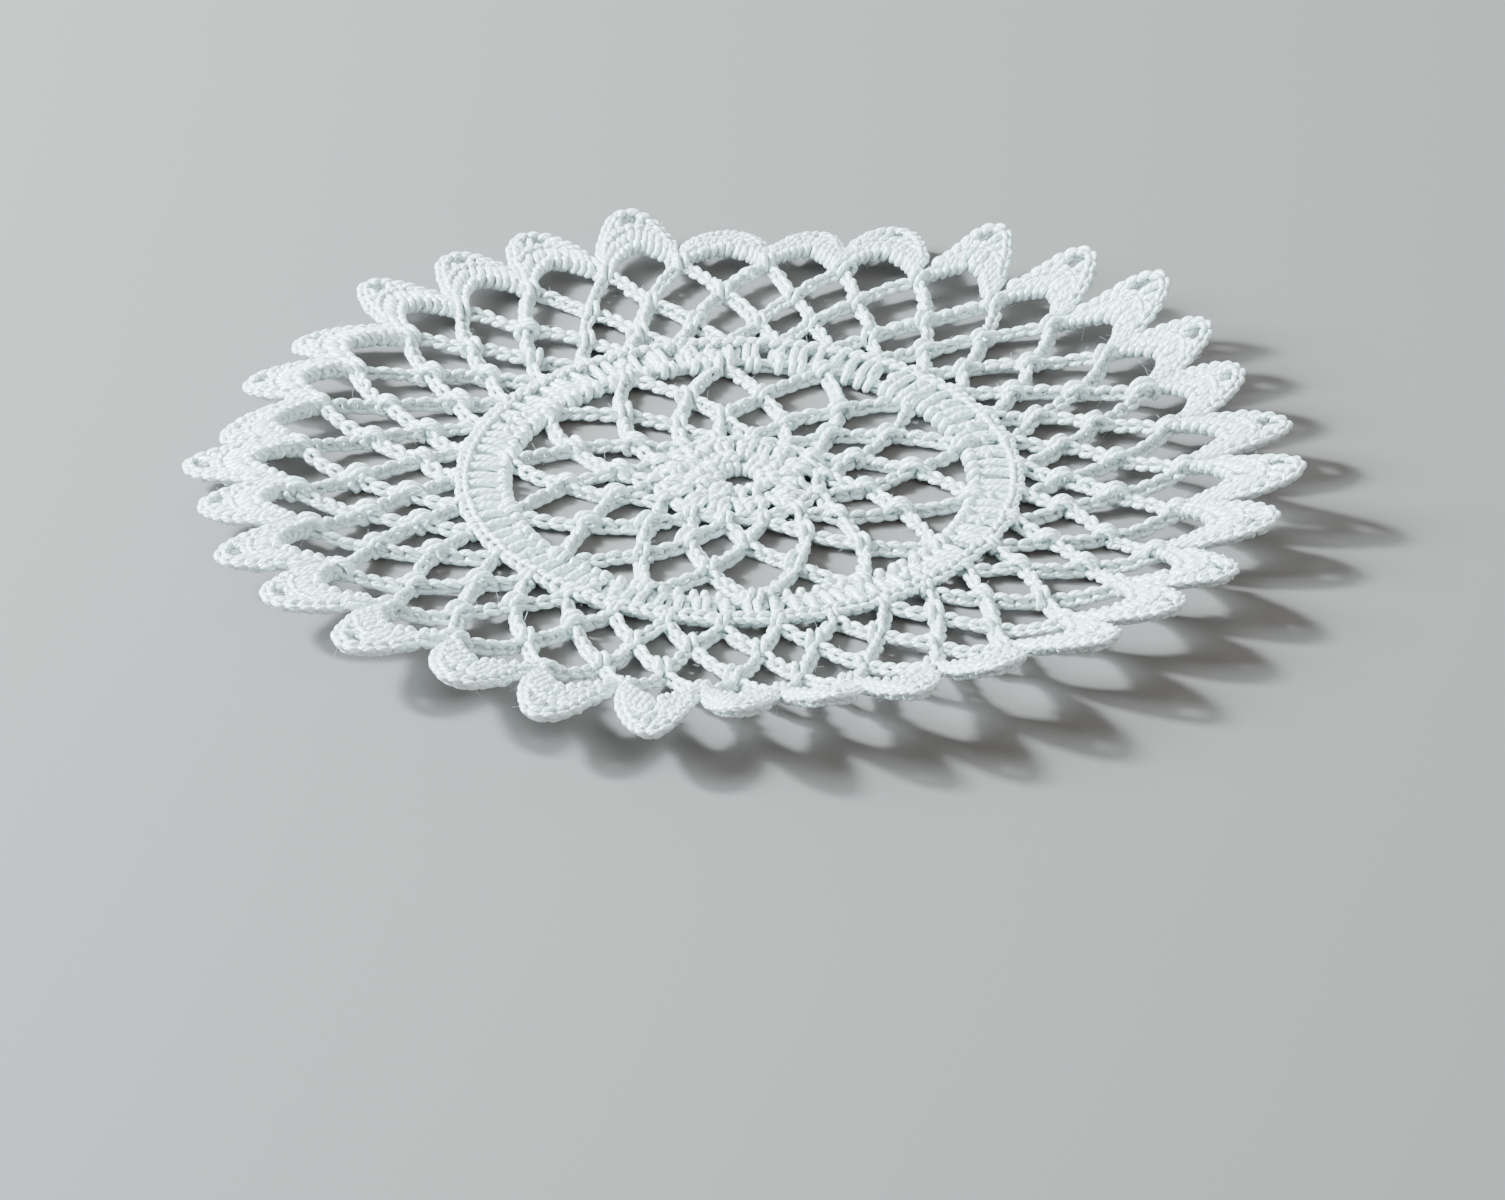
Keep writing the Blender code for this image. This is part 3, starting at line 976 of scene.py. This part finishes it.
@dataclass(frozen=True)
class Cotton:
    """The thread's finish: matt white cotton of three twisted plies with fine fibres, and painted
    shade between plies.
    """

    cool: Colour = (0.77, 0.86, 0.87, 1.0)
    warm: Colour = (0.81, 0.85, 0.83, 1.0)
    # painted shade: a darker colour in the grooves between the plies, and how narrow that band is
    painted_ply_shade: Colour = (0.66, 0.76, 0.78, 1.0)
    painted_shade_width: float = 0.8
    tone_scale: float = 160.0
    noise_detail: float = 3.0
    plies: float = 3.0
    ply_length_mm: float = 0.95
    ply_roundness: float = 0.6
    fibre_cells: float = 4.5
    fibre_stretch: float = 2.0
    ply_share: float = 0.62
    depth: float = 0.00026
    roughness: float = 0.28
    roughness_range: float = 0.26
    shine: float = 0.9
    coat: float = 0.9
    coat_roughness: float = 0.22
    sheen: float = 0.20
    sheen_roughness: float = 0.45
    glow: float = 0.40
    glow_reach: float = 0.0009

    def material(self) -> bpy.types.Material:
        """Return the thread's material."""
        tree = Tree("white_cotton_thread")
        tone = tree.noise(tree.place(), self.tone_scale, self.noise_detail)
        along, turn = tree.split(tree.node("ShaderNodeUVMap", {"uv_map": "thread"}))
        twist = turn * self.plies - along * (1.0 / self.ply_length_mm)
        ply = (twist * math.pi).function("SINE").function("ABSOLUTE") ** self.ply_roundness
        angle = turn * TURN
        strands = {
            "X": along * self.fibre_stretch,
            "Y": angle.function("COSINE") * self.fibre_cells,
            "Z": angle.function("SINE") * self.fibre_cells,
        }
        strand = tree.node("ShaderNodeCombineXYZ", inputs=strands)
        fibres = tree.noise(strand, 1.0, self.noise_detail)
        height = ply * self.ply_share + fibres * (1.0 - self.ply_share)
        dressed = tree.blend(tone, self.cool, self.warm)
        relief = {"Strength": 1.0, "Distance": self.depth, "Height": height}
        tree.feed(tree.shader, {
            # base colour: random cool and warm tone, with painted shade in the grooves between the
            # plies
            "Base Color": tree.blend(ply ** self.painted_shade_width, self.painted_ply_shade, dressed),
            "Roughness": self.roughness + fibres * self.roughness_range,
            "Normal": tree.node("ShaderNodeBump", inputs=relief),
            "Sheen Weight": self.sheen,
            "Sheen Roughness": self.sheen_roughness,
            "Specular IOR Level": self.shine,
            "Coat Weight": self.coat,
            "Coat Roughness": self.coat_roughness,
            "Subsurface Weight": self.glow,
            "Subsurface Radius": (1.0, 1.0, 1.0),
            "Subsurface Scale": self.glow_reach,
        })
        return tree.material


@dataclass(frozen=True)
class PaleFloor:
    """The studio floor's finish: plain, pale and matt."""

    colour: Colour = (0.160, 0.129, 0.122, 1.0)
    shade: Colour = (0.154, 0.124, 0.117, 1.0)
    tone_scale: float = 6.0
    noise_detail: float = 2.0
    roughness: float = 0.75

    def material(self) -> bpy.types.Material:
        """Return the floor's material."""
        tree = Tree("pale_floor")
        tone = tree.noise(tree.place(), self.tone_scale, self.noise_detail)
        colour = tree.blend(tone, self.colour, self.shade)
        tree.feed(tree.shader, {"Base Color": colour, "Roughness": self.roughness})
        return tree.material


# --------------------------------------------------------------------------- pieces


@dataclass
class Piece:
    """A piece of the doily that is spun from its own thread."""

    name: str
    seed: int
    thread: Thread = field(init=False)
    yarn: ClassVar[Yarn] = YARN

    def __post_init__(self) -> None:
        """Start the piece's thread."""
        self.thread = Thread(self.name, self.seed, self.yarn)

    def stitch(self) -> None:
        """Work the piece's stitches; each kind of piece has its own."""
        raise NotImplementedError

    def make(self, material: bpy.types.Material) -> bpy.types.Object:
        """Work the piece, dress it and tie it to the frame.

        Args:
            material: the thread's material.

        Returns:
            The piece's mesh object.
        """
        self.stitch()
        piece = self.thread.spin()
        piece.data.materials.clear()
        piece.data.materials.append(material)
        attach(piece, "root")
        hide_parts(NODE)
        triangles = sum(len(face.vertices) - 2 for face in piece.data.polygons)
        LOG.info("%s: %.2f m of thread, %d triangles", self.name, self.thread.length, triangles)
        return piece


@dataclass
class Centre(Piece):
    """The closed disc: a small ring, two rounds of posts, rows of heads and lumps between."""

    ring_radius: float = 0.0034
    heads_radius: float = 0.0064
    rim_radius: float = 0.0105
    ring_row: Row = Row(10, (0.3, 0.3), 0.00100)
    heads_row: Row = Row(14, (0.4, 0.4), 0.00095, 1.15)
    rim_row: Row = Row(28, (0.5, 0.5), 0.00125, 1.1)
    rounds: tuple[PostRound, ...] = (
        PostRound(14, 0.0035, 0.0062, 0.5, 0.18, 0.00030, (0.04, 0.08)),
        PostRound(28, 0.0068, 0.0102, 0.5, 0.18, 0.00030, (0.04, 0.08)),
    )
    post: Post = Post(
        height=0.00115, bulge=0.00080, spread=0.00038, hook=0.80, gauge=1.22, start=0.9,
        twist=0.40, uneven=0.9, belts=0.60,
    )
    lumps: int = 17
    lump_radius: float = 0.0080
    lump_size: float = 0.86
    lump_wander: float = 0.3
    lump_slip: float = 0.0007

    def stitch(self) -> None:
        """Work the ring, the two rounds of posts, and the heads and lumps over them."""
        CHAIN.work(self.thread, circle_route(self.ring_radius, INNER.phase), self.ring_row)
        for posts in self.rounds:
            for index in range(posts.stitches):
                posts.work(self.thread, self.post, index, INNER.phase)
        CHAIN.work(self.thread, circle_route(self.heads_radius, INNER.phase), self.heads_row)
        for index in range(self.lumps):
            turn = (index + self.thread.slip(self.lump_wander)) * TURN / self.lumps
            radius = self.lump_radius + self.thread.slip(self.lump_slip)
            place = polar(radius, INNER.phase + turn)
            KNOT.work(self.thread, place, self.lump_size)
        CHAIN.work(self.thread, circle_route(self.rim_radius, INNER.phase), self.rim_row)


@dataclass
class Net(Piece):
    """Rounds of chain arches, each foot at a top of the round before it."""

    side: Side
    stitch_length: float = 0.00212
    fewest: int = 4
    foot_in: float = 0.0007
    foot_ease: float = 0.70
    crown_low: float = 0.0001
    tuck: float = 0.0008
    roll: Pair = (0.45, 1.15)
    roll_change: float = 0.5

    def arch(self, foot: np.ndarray, top: np.ndarray, after: np.ndarray, bow: float) -> Route:
        """Return the route of one arch.

        Args:
            foot: its first foot.
            top: its top.
            after: its second foot.
            bow: how far each half bows away from the doily's middle.

        Returns:
            The route in the flat layout.
        """
        halves = []
        for end in (foot, after):
            middle = 0.5 * (end + top)
            middle = middle + unit(middle) * bow
            start = end + unit(end) * self.foot_in
            halves.append([start, middle, middle + self.foot_ease * (top - middle)])
        crown = top - unit(top) * self.crown_low
        return Route([*halves[0], crown, *reversed(halves[1])])

    def stitch(self) -> None:
        """Work the rounds' arches, each rolled to one side or the other."""
        net = self.side.value
        rng = self.thread.rng
        for number, sizes in enumerate(net.rounds):
            feet = net.tops(number)
            for index, top in enumerate(net.tops(number + 1)):
                route = self.arch(feet[index], top, feet[(index + 1) % net.arches], sizes.bow)
                count = max(self.fewest, round(route.length / self.stitch_length - Chain.LAST))
                roll = rng.choice((-1.0, 1.0)) * rng.uniform(*self.roll)
                rolls = (roll, roll + rng.uniform(-self.roll_change, self.roll_change))
                CHAIN.work(self.thread, route, Row(count, rolls, tuck=self.tuck))


@dataclass
class Knots(Piece):
    """The low stitches that tie every round of arches to the round before it."""

    foot_size: float = 0.82
    top_size: float = 1.10
    size_slip: float = 0.08

    def stitch(self) -> None:
        """Tie a knot at each foot and each top of the arches."""
        for side in Side:
            for number in range(len(side.value.rounds) + 1):
                plain = self.top_size if number else self.foot_size
                for place in side.value.tops(number):
                    size = plain + self.thread.slip(self.size_slip)
                    KNOT.work(self.thread, place, size)


@dataclass
class TallRing(Piece):
    """The closed ring of tall stitches between two rows of chain.

    The filler is the low strand in the gap between two of them.  On the +X side, where the
    stitches lie closest, it stands almost as high as they do.
    """

    inner_radius: float = 0.0318
    outer_radius: float = 0.0367
    inner_row: Row = Row(60, (0.2, 0.2), 0.00100)
    outer_row: Row = Row(138, (0.30, 0.30), 0.00170)
    inner_chain: Chain = Chain(half_width=0.00036)
    outer_chain: Chain = Chain(half_width=0.00066, loft=1.0, uneven=0.14)
    posts: PostRound = PostRound(
        99, 0.0319, 0.0364, 0.0, 0.14, 0.00015, (0.010, 0.010), lag=0.006,
    )
    post: Post = Post(
        height=0.00130, bulge=0.00045, spread=0.00034, gauge=1.26, start=0.9, twist=0.22,
        hook=1.05, uneven=0.35, belts=0.15,
    )
    filler_points: int = 6
    filler_height: float = 0.00100
    filler_rise: float = 0.00024
    filler_gauge: float = 1.2
    filler_sway: float = 0.006

    def stitch(self) -> None:
        """Work the row at the feet, the tall stitches and the row of their heads."""
        inner = circle_route(self.inner_radius, OUTER.phase)
        self.inner_chain.work(self.thread, inner, self.inner_row)
        for index in range(self.posts.stitches):
            angle = self.posts.work(self.thread, self.post, index, OUTER.phase)
            self.fill(angle + math.pi / self.posts.stitches)
        outer = circle_route(self.outer_radius, OUTER.phase)
        self.outer_chain.work(self.thread, outer, self.outer_row)

    def fill(self, angle: float) -> None:
        """Lay the filler in the gap between two stitches at an angle."""
        shares = np.linspace(0.0, 1.0, self.filler_points)
        height = self.filler_height + self.filler_rise * max(0.0, math.cos(angle))
        radii = self.posts.foot + (self.posts.head - self.posts.foot) * shares
        angles = angle + self.thread.slip(self.filler_sway) * np.sin(math.pi * shares)
        flat = np.stack((radii * np.cos(angles), radii * np.sin(angles)), axis=1)
        self.thread.lay(flat, np.full(len(flat), height), gauge=self.filler_gauge)


class Scalloped:
    """The three lines that a scallop is worked along: its loop, its crown and its rim."""

    def __init__(self, index: int) -> None:
        """Draw a scallop's lines in the flat layout.

        Args:
            index: the scallop.
        """
        tops = OUTER.tops(len(OUTER.rounds))
        after = (index + 1) % OUTER.arches
        loop = LAYOUT.scallop_line(index, LAYOUT.loop_half, LAYOUT.loop_peak)
        rim = LAYOUT.scallop_line(index, LAYOUT.rim_half, LAYOUT.plain_reach)
        self.loop = Route([tops[index], *loop, tops[after]])
        self.crown = Route(LAYOUT.scallop_line(index, LAYOUT.crown_half, LAYOUT.crown_peak))
        self.rim = Route([LAYOUT.notch(index), *rim, LAYOUT.notch(after)])

    def spot(self, route: Route, share: float) -> np.ndarray:
        """Return the point at a share of a route's length."""
        return route.point(np.array((share * route.length,)))[0]


def scalloped() -> list[Scalloped]:
    """Return the lines of every scallop."""
    return [Scalloped(index) for index in range(OUTER.arches)]


@dataclass
class Edging(Piece):
    """The scallops' stitches, worked over the chain loops of the last round."""

    stitches: int = 14
    share_slip: float = 0.010
    head_lead: float = 0.02
    post: Post = Post(
        height=0.00130, bulge=0.00020, spread=0.00040, flare=0.30, gauge=1.24, start=0.4,
        twist=0.55, hook=0.88, uneven=0.25,
    )

    def stitch(self) -> None:
        """Work each scallop's fan of stitches over its loop, as far as the crown."""
        for lines in scalloped():
            for number in range(self.stitches):
                share = (number + 0.5) / self.stitches + self.thread.slip(self.share_slip)
                foot = lines.spot(lines.loop, share)
                head = lines.spot(lines.crown, min(share + self.head_lead, 1.0))
                self.post.work(self.thread, foot, head)


@dataclass
class EdgingTips(Piece):
    """The second tier of stitches, which rounds out the tip of every scallop.

    The feet stand at shares of the crown's length, and the heads are gathered in a little
    towards the middle of the rim.
    """

    shares: tuple[float, ...] = (0.225, 0.315, 0.395, 0.59, 0.675, 0.765)
    share_slip: float = 0.05
    gathered: float = 0.90
    shy: float = 0.0010
    shortest: float = 0.0009
    crown_row: Row = Row(7, (0.4, 0.4), 0.00142, span=(0.14, 0.86))
    chain: Chain = Chain(half_width=0.00044)
    post: Post = Post(
        height=0.00120, bulge=0.00015, spread=0.00040, flare=0.2, gauge=1.24, start=0.4,
        twist=0.45, hook=0.55, uneven=0.5,
    )

    def stitch(self) -> None:
        """Work the row along each crown and the short stitches that stand on it."""
        for lines in scalloped():
            self.chain.work(self.thread, lines.crown, self.crown_row)
            aside = self.thread.slip(self.share_slip)
            for share in self.shares:
                foot = lines.spot(lines.crown, share + aside)
                edge = lines.spot(lines.rim, 0.5 + self.gathered * (share + aside - 0.5))
                head = edge - unit(edge - foot) * self.shy
                if np.linalg.norm(head - foot) > self.shortest:
                    self.post.work(self.thread, foot, head)


@dataclass
class EdgingRim(Piece):
    """The row of heads round every scallop."""

    rim_row: Row = Row(12, (0.45, 0.45), 0.00140)
    chain: Chain = Chain(half_width=0.00050)
    inset: float = 0.00085
    span: Pair = (0.01, 0.99)
    marks: int = 15

    def stitch(self) -> None:
        """Work the row of heads a little inside each scallop's rim."""
        for lines in scalloped():
            marks = np.linspace(*self.span, self.marks) * lines.rim.length
            inside = lines.rim.beside(marks, np.full(self.marks, self.inset))
            self.chain.work(self.thread, Route(inside), self.rim_row)


@dataclass
class Fuzz(Piece):
    """Loose fibre ends that stand off the thread of the other pieces, more of them at the rim."""

    sources: list[Thread]
    fibres: int = 4600
    rim_share: float = 3.0
    shortest: float = 0.0004
    spread: float = 0.00045
    longest: float = 0.0022
    lean: float = 0.5
    bend: float = 0.8
    rooted: float = 0.7
    points: int = 5
    floor_gap: float = 0.00004

    yarn: ClassVar[Yarn] = FIBRE

    def stitch(self) -> None:
        """Stand each fibre on a place of the thread, bent a little, clear of the floor."""
        rng = self.thread.rng
        runs = [run for source in self.sources for run in source.runs]
        shares = np.array([run.length for run in runs])
        reach = np.array([float(np.hypot(*run.points[0, :2])) for run in runs])
        shares = np.where(reach > LAYOUT.curl_full, shares * self.rim_share, shares)
        steps = np.linspace(0.0, 1.0, self.points)[:, None]
        for number in rng.choice(len(runs), size=self.fibres, p=shares / shares.sum()):
            run = runs[number]
            place = int(rng.integers(1, len(run.points) - 1))
            ahead = unit(run.points[place + 1] - run.points[place - 1])
            side = np.cross(ahead, unit(rng.normal(0.0, 1.0, 3)))
            side = unit(side + self.thread.slip(self.lean) * ahead)
            bend = np.cross(side, unit(rng.normal(0.0, 1.0, 3))) * self.bend
            length = min(self.shortest + rng.exponential(self.spread), self.longest)
            start = run.points[place] + side * YARN.radius * self.rooted
            points = start + (side * steps + bend * steps ** 2) * length
            points[:, 2] = np.maximum(points[:, 2], self.floor_gap)
            self.thread.run(points)


# --------------------------------------------------------------------------- studio


@dataclass(frozen=True)
class Lamp:
    """A soft square lamp: its name, where it hangs, its side, its watts and its colour."""

    name: str
    place: Triple
    size: float
    power: float
    colour: Triple

    def hang(self) -> None:
        """Hang the lamp so that it faces the doily."""
        light = bpy.data.lights.new(self.name, "AREA")
        light.shape = "SQUARE"
        light.size = self.size
        light.energy = self.power
        light.color = self.colour
        holder = bpy.data.objects.new(self.name, light)
        holder.location = self.place
        holder.rotation_euler = (-Vector(self.place)).to_track_quat("-Z", "Y").to_euler()
        bpy.context.scene.collection.objects.link(holder)


@dataclass(frozen=True)
class Studio:
    """The floor, the lights and the camera."""

    elevation: float = math.radians(30.0)
    distance: float = 0.888
    lens: float = 159.96
    sensor: float = 36.0
    clip_start: float = 0.01
    frame_pixels: tuple[int, int] = (1505, 1200)
    seen_at: Pair = (739.5, 488.0)
    floor_size: float = 4.0
    room_colour: Colour = (0.84, 0.96, 0.95, 1.0)
    room_strength: float = 0.64
    lamps: tuple[Lamp, ...] = (
        Lamp("key", (-0.80, 0.10, 0.46), 0.42, 47.0, (0.69, 0.94, 1.0)),
        Lamp("window", (-0.76, 0.26, 0.54), 0.11, 42.0, (0.74, 0.95, 1.0)),
        Lamp("fill", (0.70, -0.55, 0.55), 0.9, 3.5, (0.98, 0.98, 0.94)),
        Lamp("back", (0.15, 0.95, 0.50), 0.7, 5.0, (0.78, 0.95, 1.0)),
    )

    def floor(self) -> bpy.types.Object:
        """Lay the floor under the doily."""
        bpy.ops.mesh.primitive_plane_add(size=self.floor_size, location=(0.0, 0.0, 0.0))
        floor = bpy.context.object
        floor.name = "floor"
        floor.data.materials.append(PaleFloor().material())
        return floor

    def camera(self) -> None:
        """Place the camera so that the doily's rings stand at their place in the frame."""
        camera = bpy.data.cameras.new("camera")
        camera.lens = self.lens
        camera.sensor_width = self.sensor
        camera.clip_start = self.clip_start
        holder = bpy.data.objects.new("camera", camera)
        bpy.context.scene.collection.objects.link(holder)
        middle = Vector((LAYOUT.middle[0], LAYOUT.middle[1], 0.0))
        away = Vector((0.0, -math.cos(self.elevation), math.sin(self.elevation)))
        holder.location = middle + away * self.distance
        focal = self.lens / self.sensor * self.frame_pixels[0]
        right = (self.frame_pixels[0] / 2.0 - self.seen_at[0]) / focal
        down = (self.frame_pixels[1] / 2.0 - self.seen_at[1]) / focal
        up = Vector((0.0, math.sin(self.elevation), math.cos(self.elevation)))
        aim = -away + Vector((1.0, 0.0, 0.0)) * right - up * down
        holder.rotation_euler = aim.to_track_quat("-Z", "Y").to_euler()
        bpy.context.scene.camera = holder

    def lights(self) -> None:
        """Hang the lamps and set the even light of the room."""
        for lamp in self.lamps:
            lamp.hang()
        world = bpy.data.worlds.new("room")
        world.use_nodes = True
        background = world.node_tree.nodes["Background"]
        background.inputs["Color"].default_value = self.room_colour
        background.inputs["Strength"].default_value = self.room_strength
        bpy.context.scene.world = world


# --------------------------------------------------------------------------- making


def main() -> None:
    logging.basicConfig(level=logging.INFO, format="%(name)s: %(message)s")
    studio = Studio()
    studio.camera()
    floor = studio.floor()
    studio.lights()
    cotton = Cotton().material()
    kinds: list[Piece] = [
        Centre(name="centre", seed=11),
        Net(name="inner_net", seed=12, side=Side.INNER),
        TallRing(name="tall_ring", seed=13),
        Net(name="outer_net", seed=14, side=Side.OUTER),
        Knots(name="knots", seed=15),
        Edging(name="edging", seed=16),
        EdgingTips(name="edging_tips", seed=19),
        EdgingRim(name="edging_rim", seed=17),
    ]
    kinds.append(Fuzz(name="fuzz", seed=18, sources=[kind.thread for kind in kinds]))
    pieces = {kind.name: kind.make(cotton) for kind in kinds}
    sheet = pieces.pop("outer_net")
    LOG.info("thread in all: %.1f m", sum(kind.thread.length for kind in kinds[:-1]))


if __name__ == "__main__":
    main()
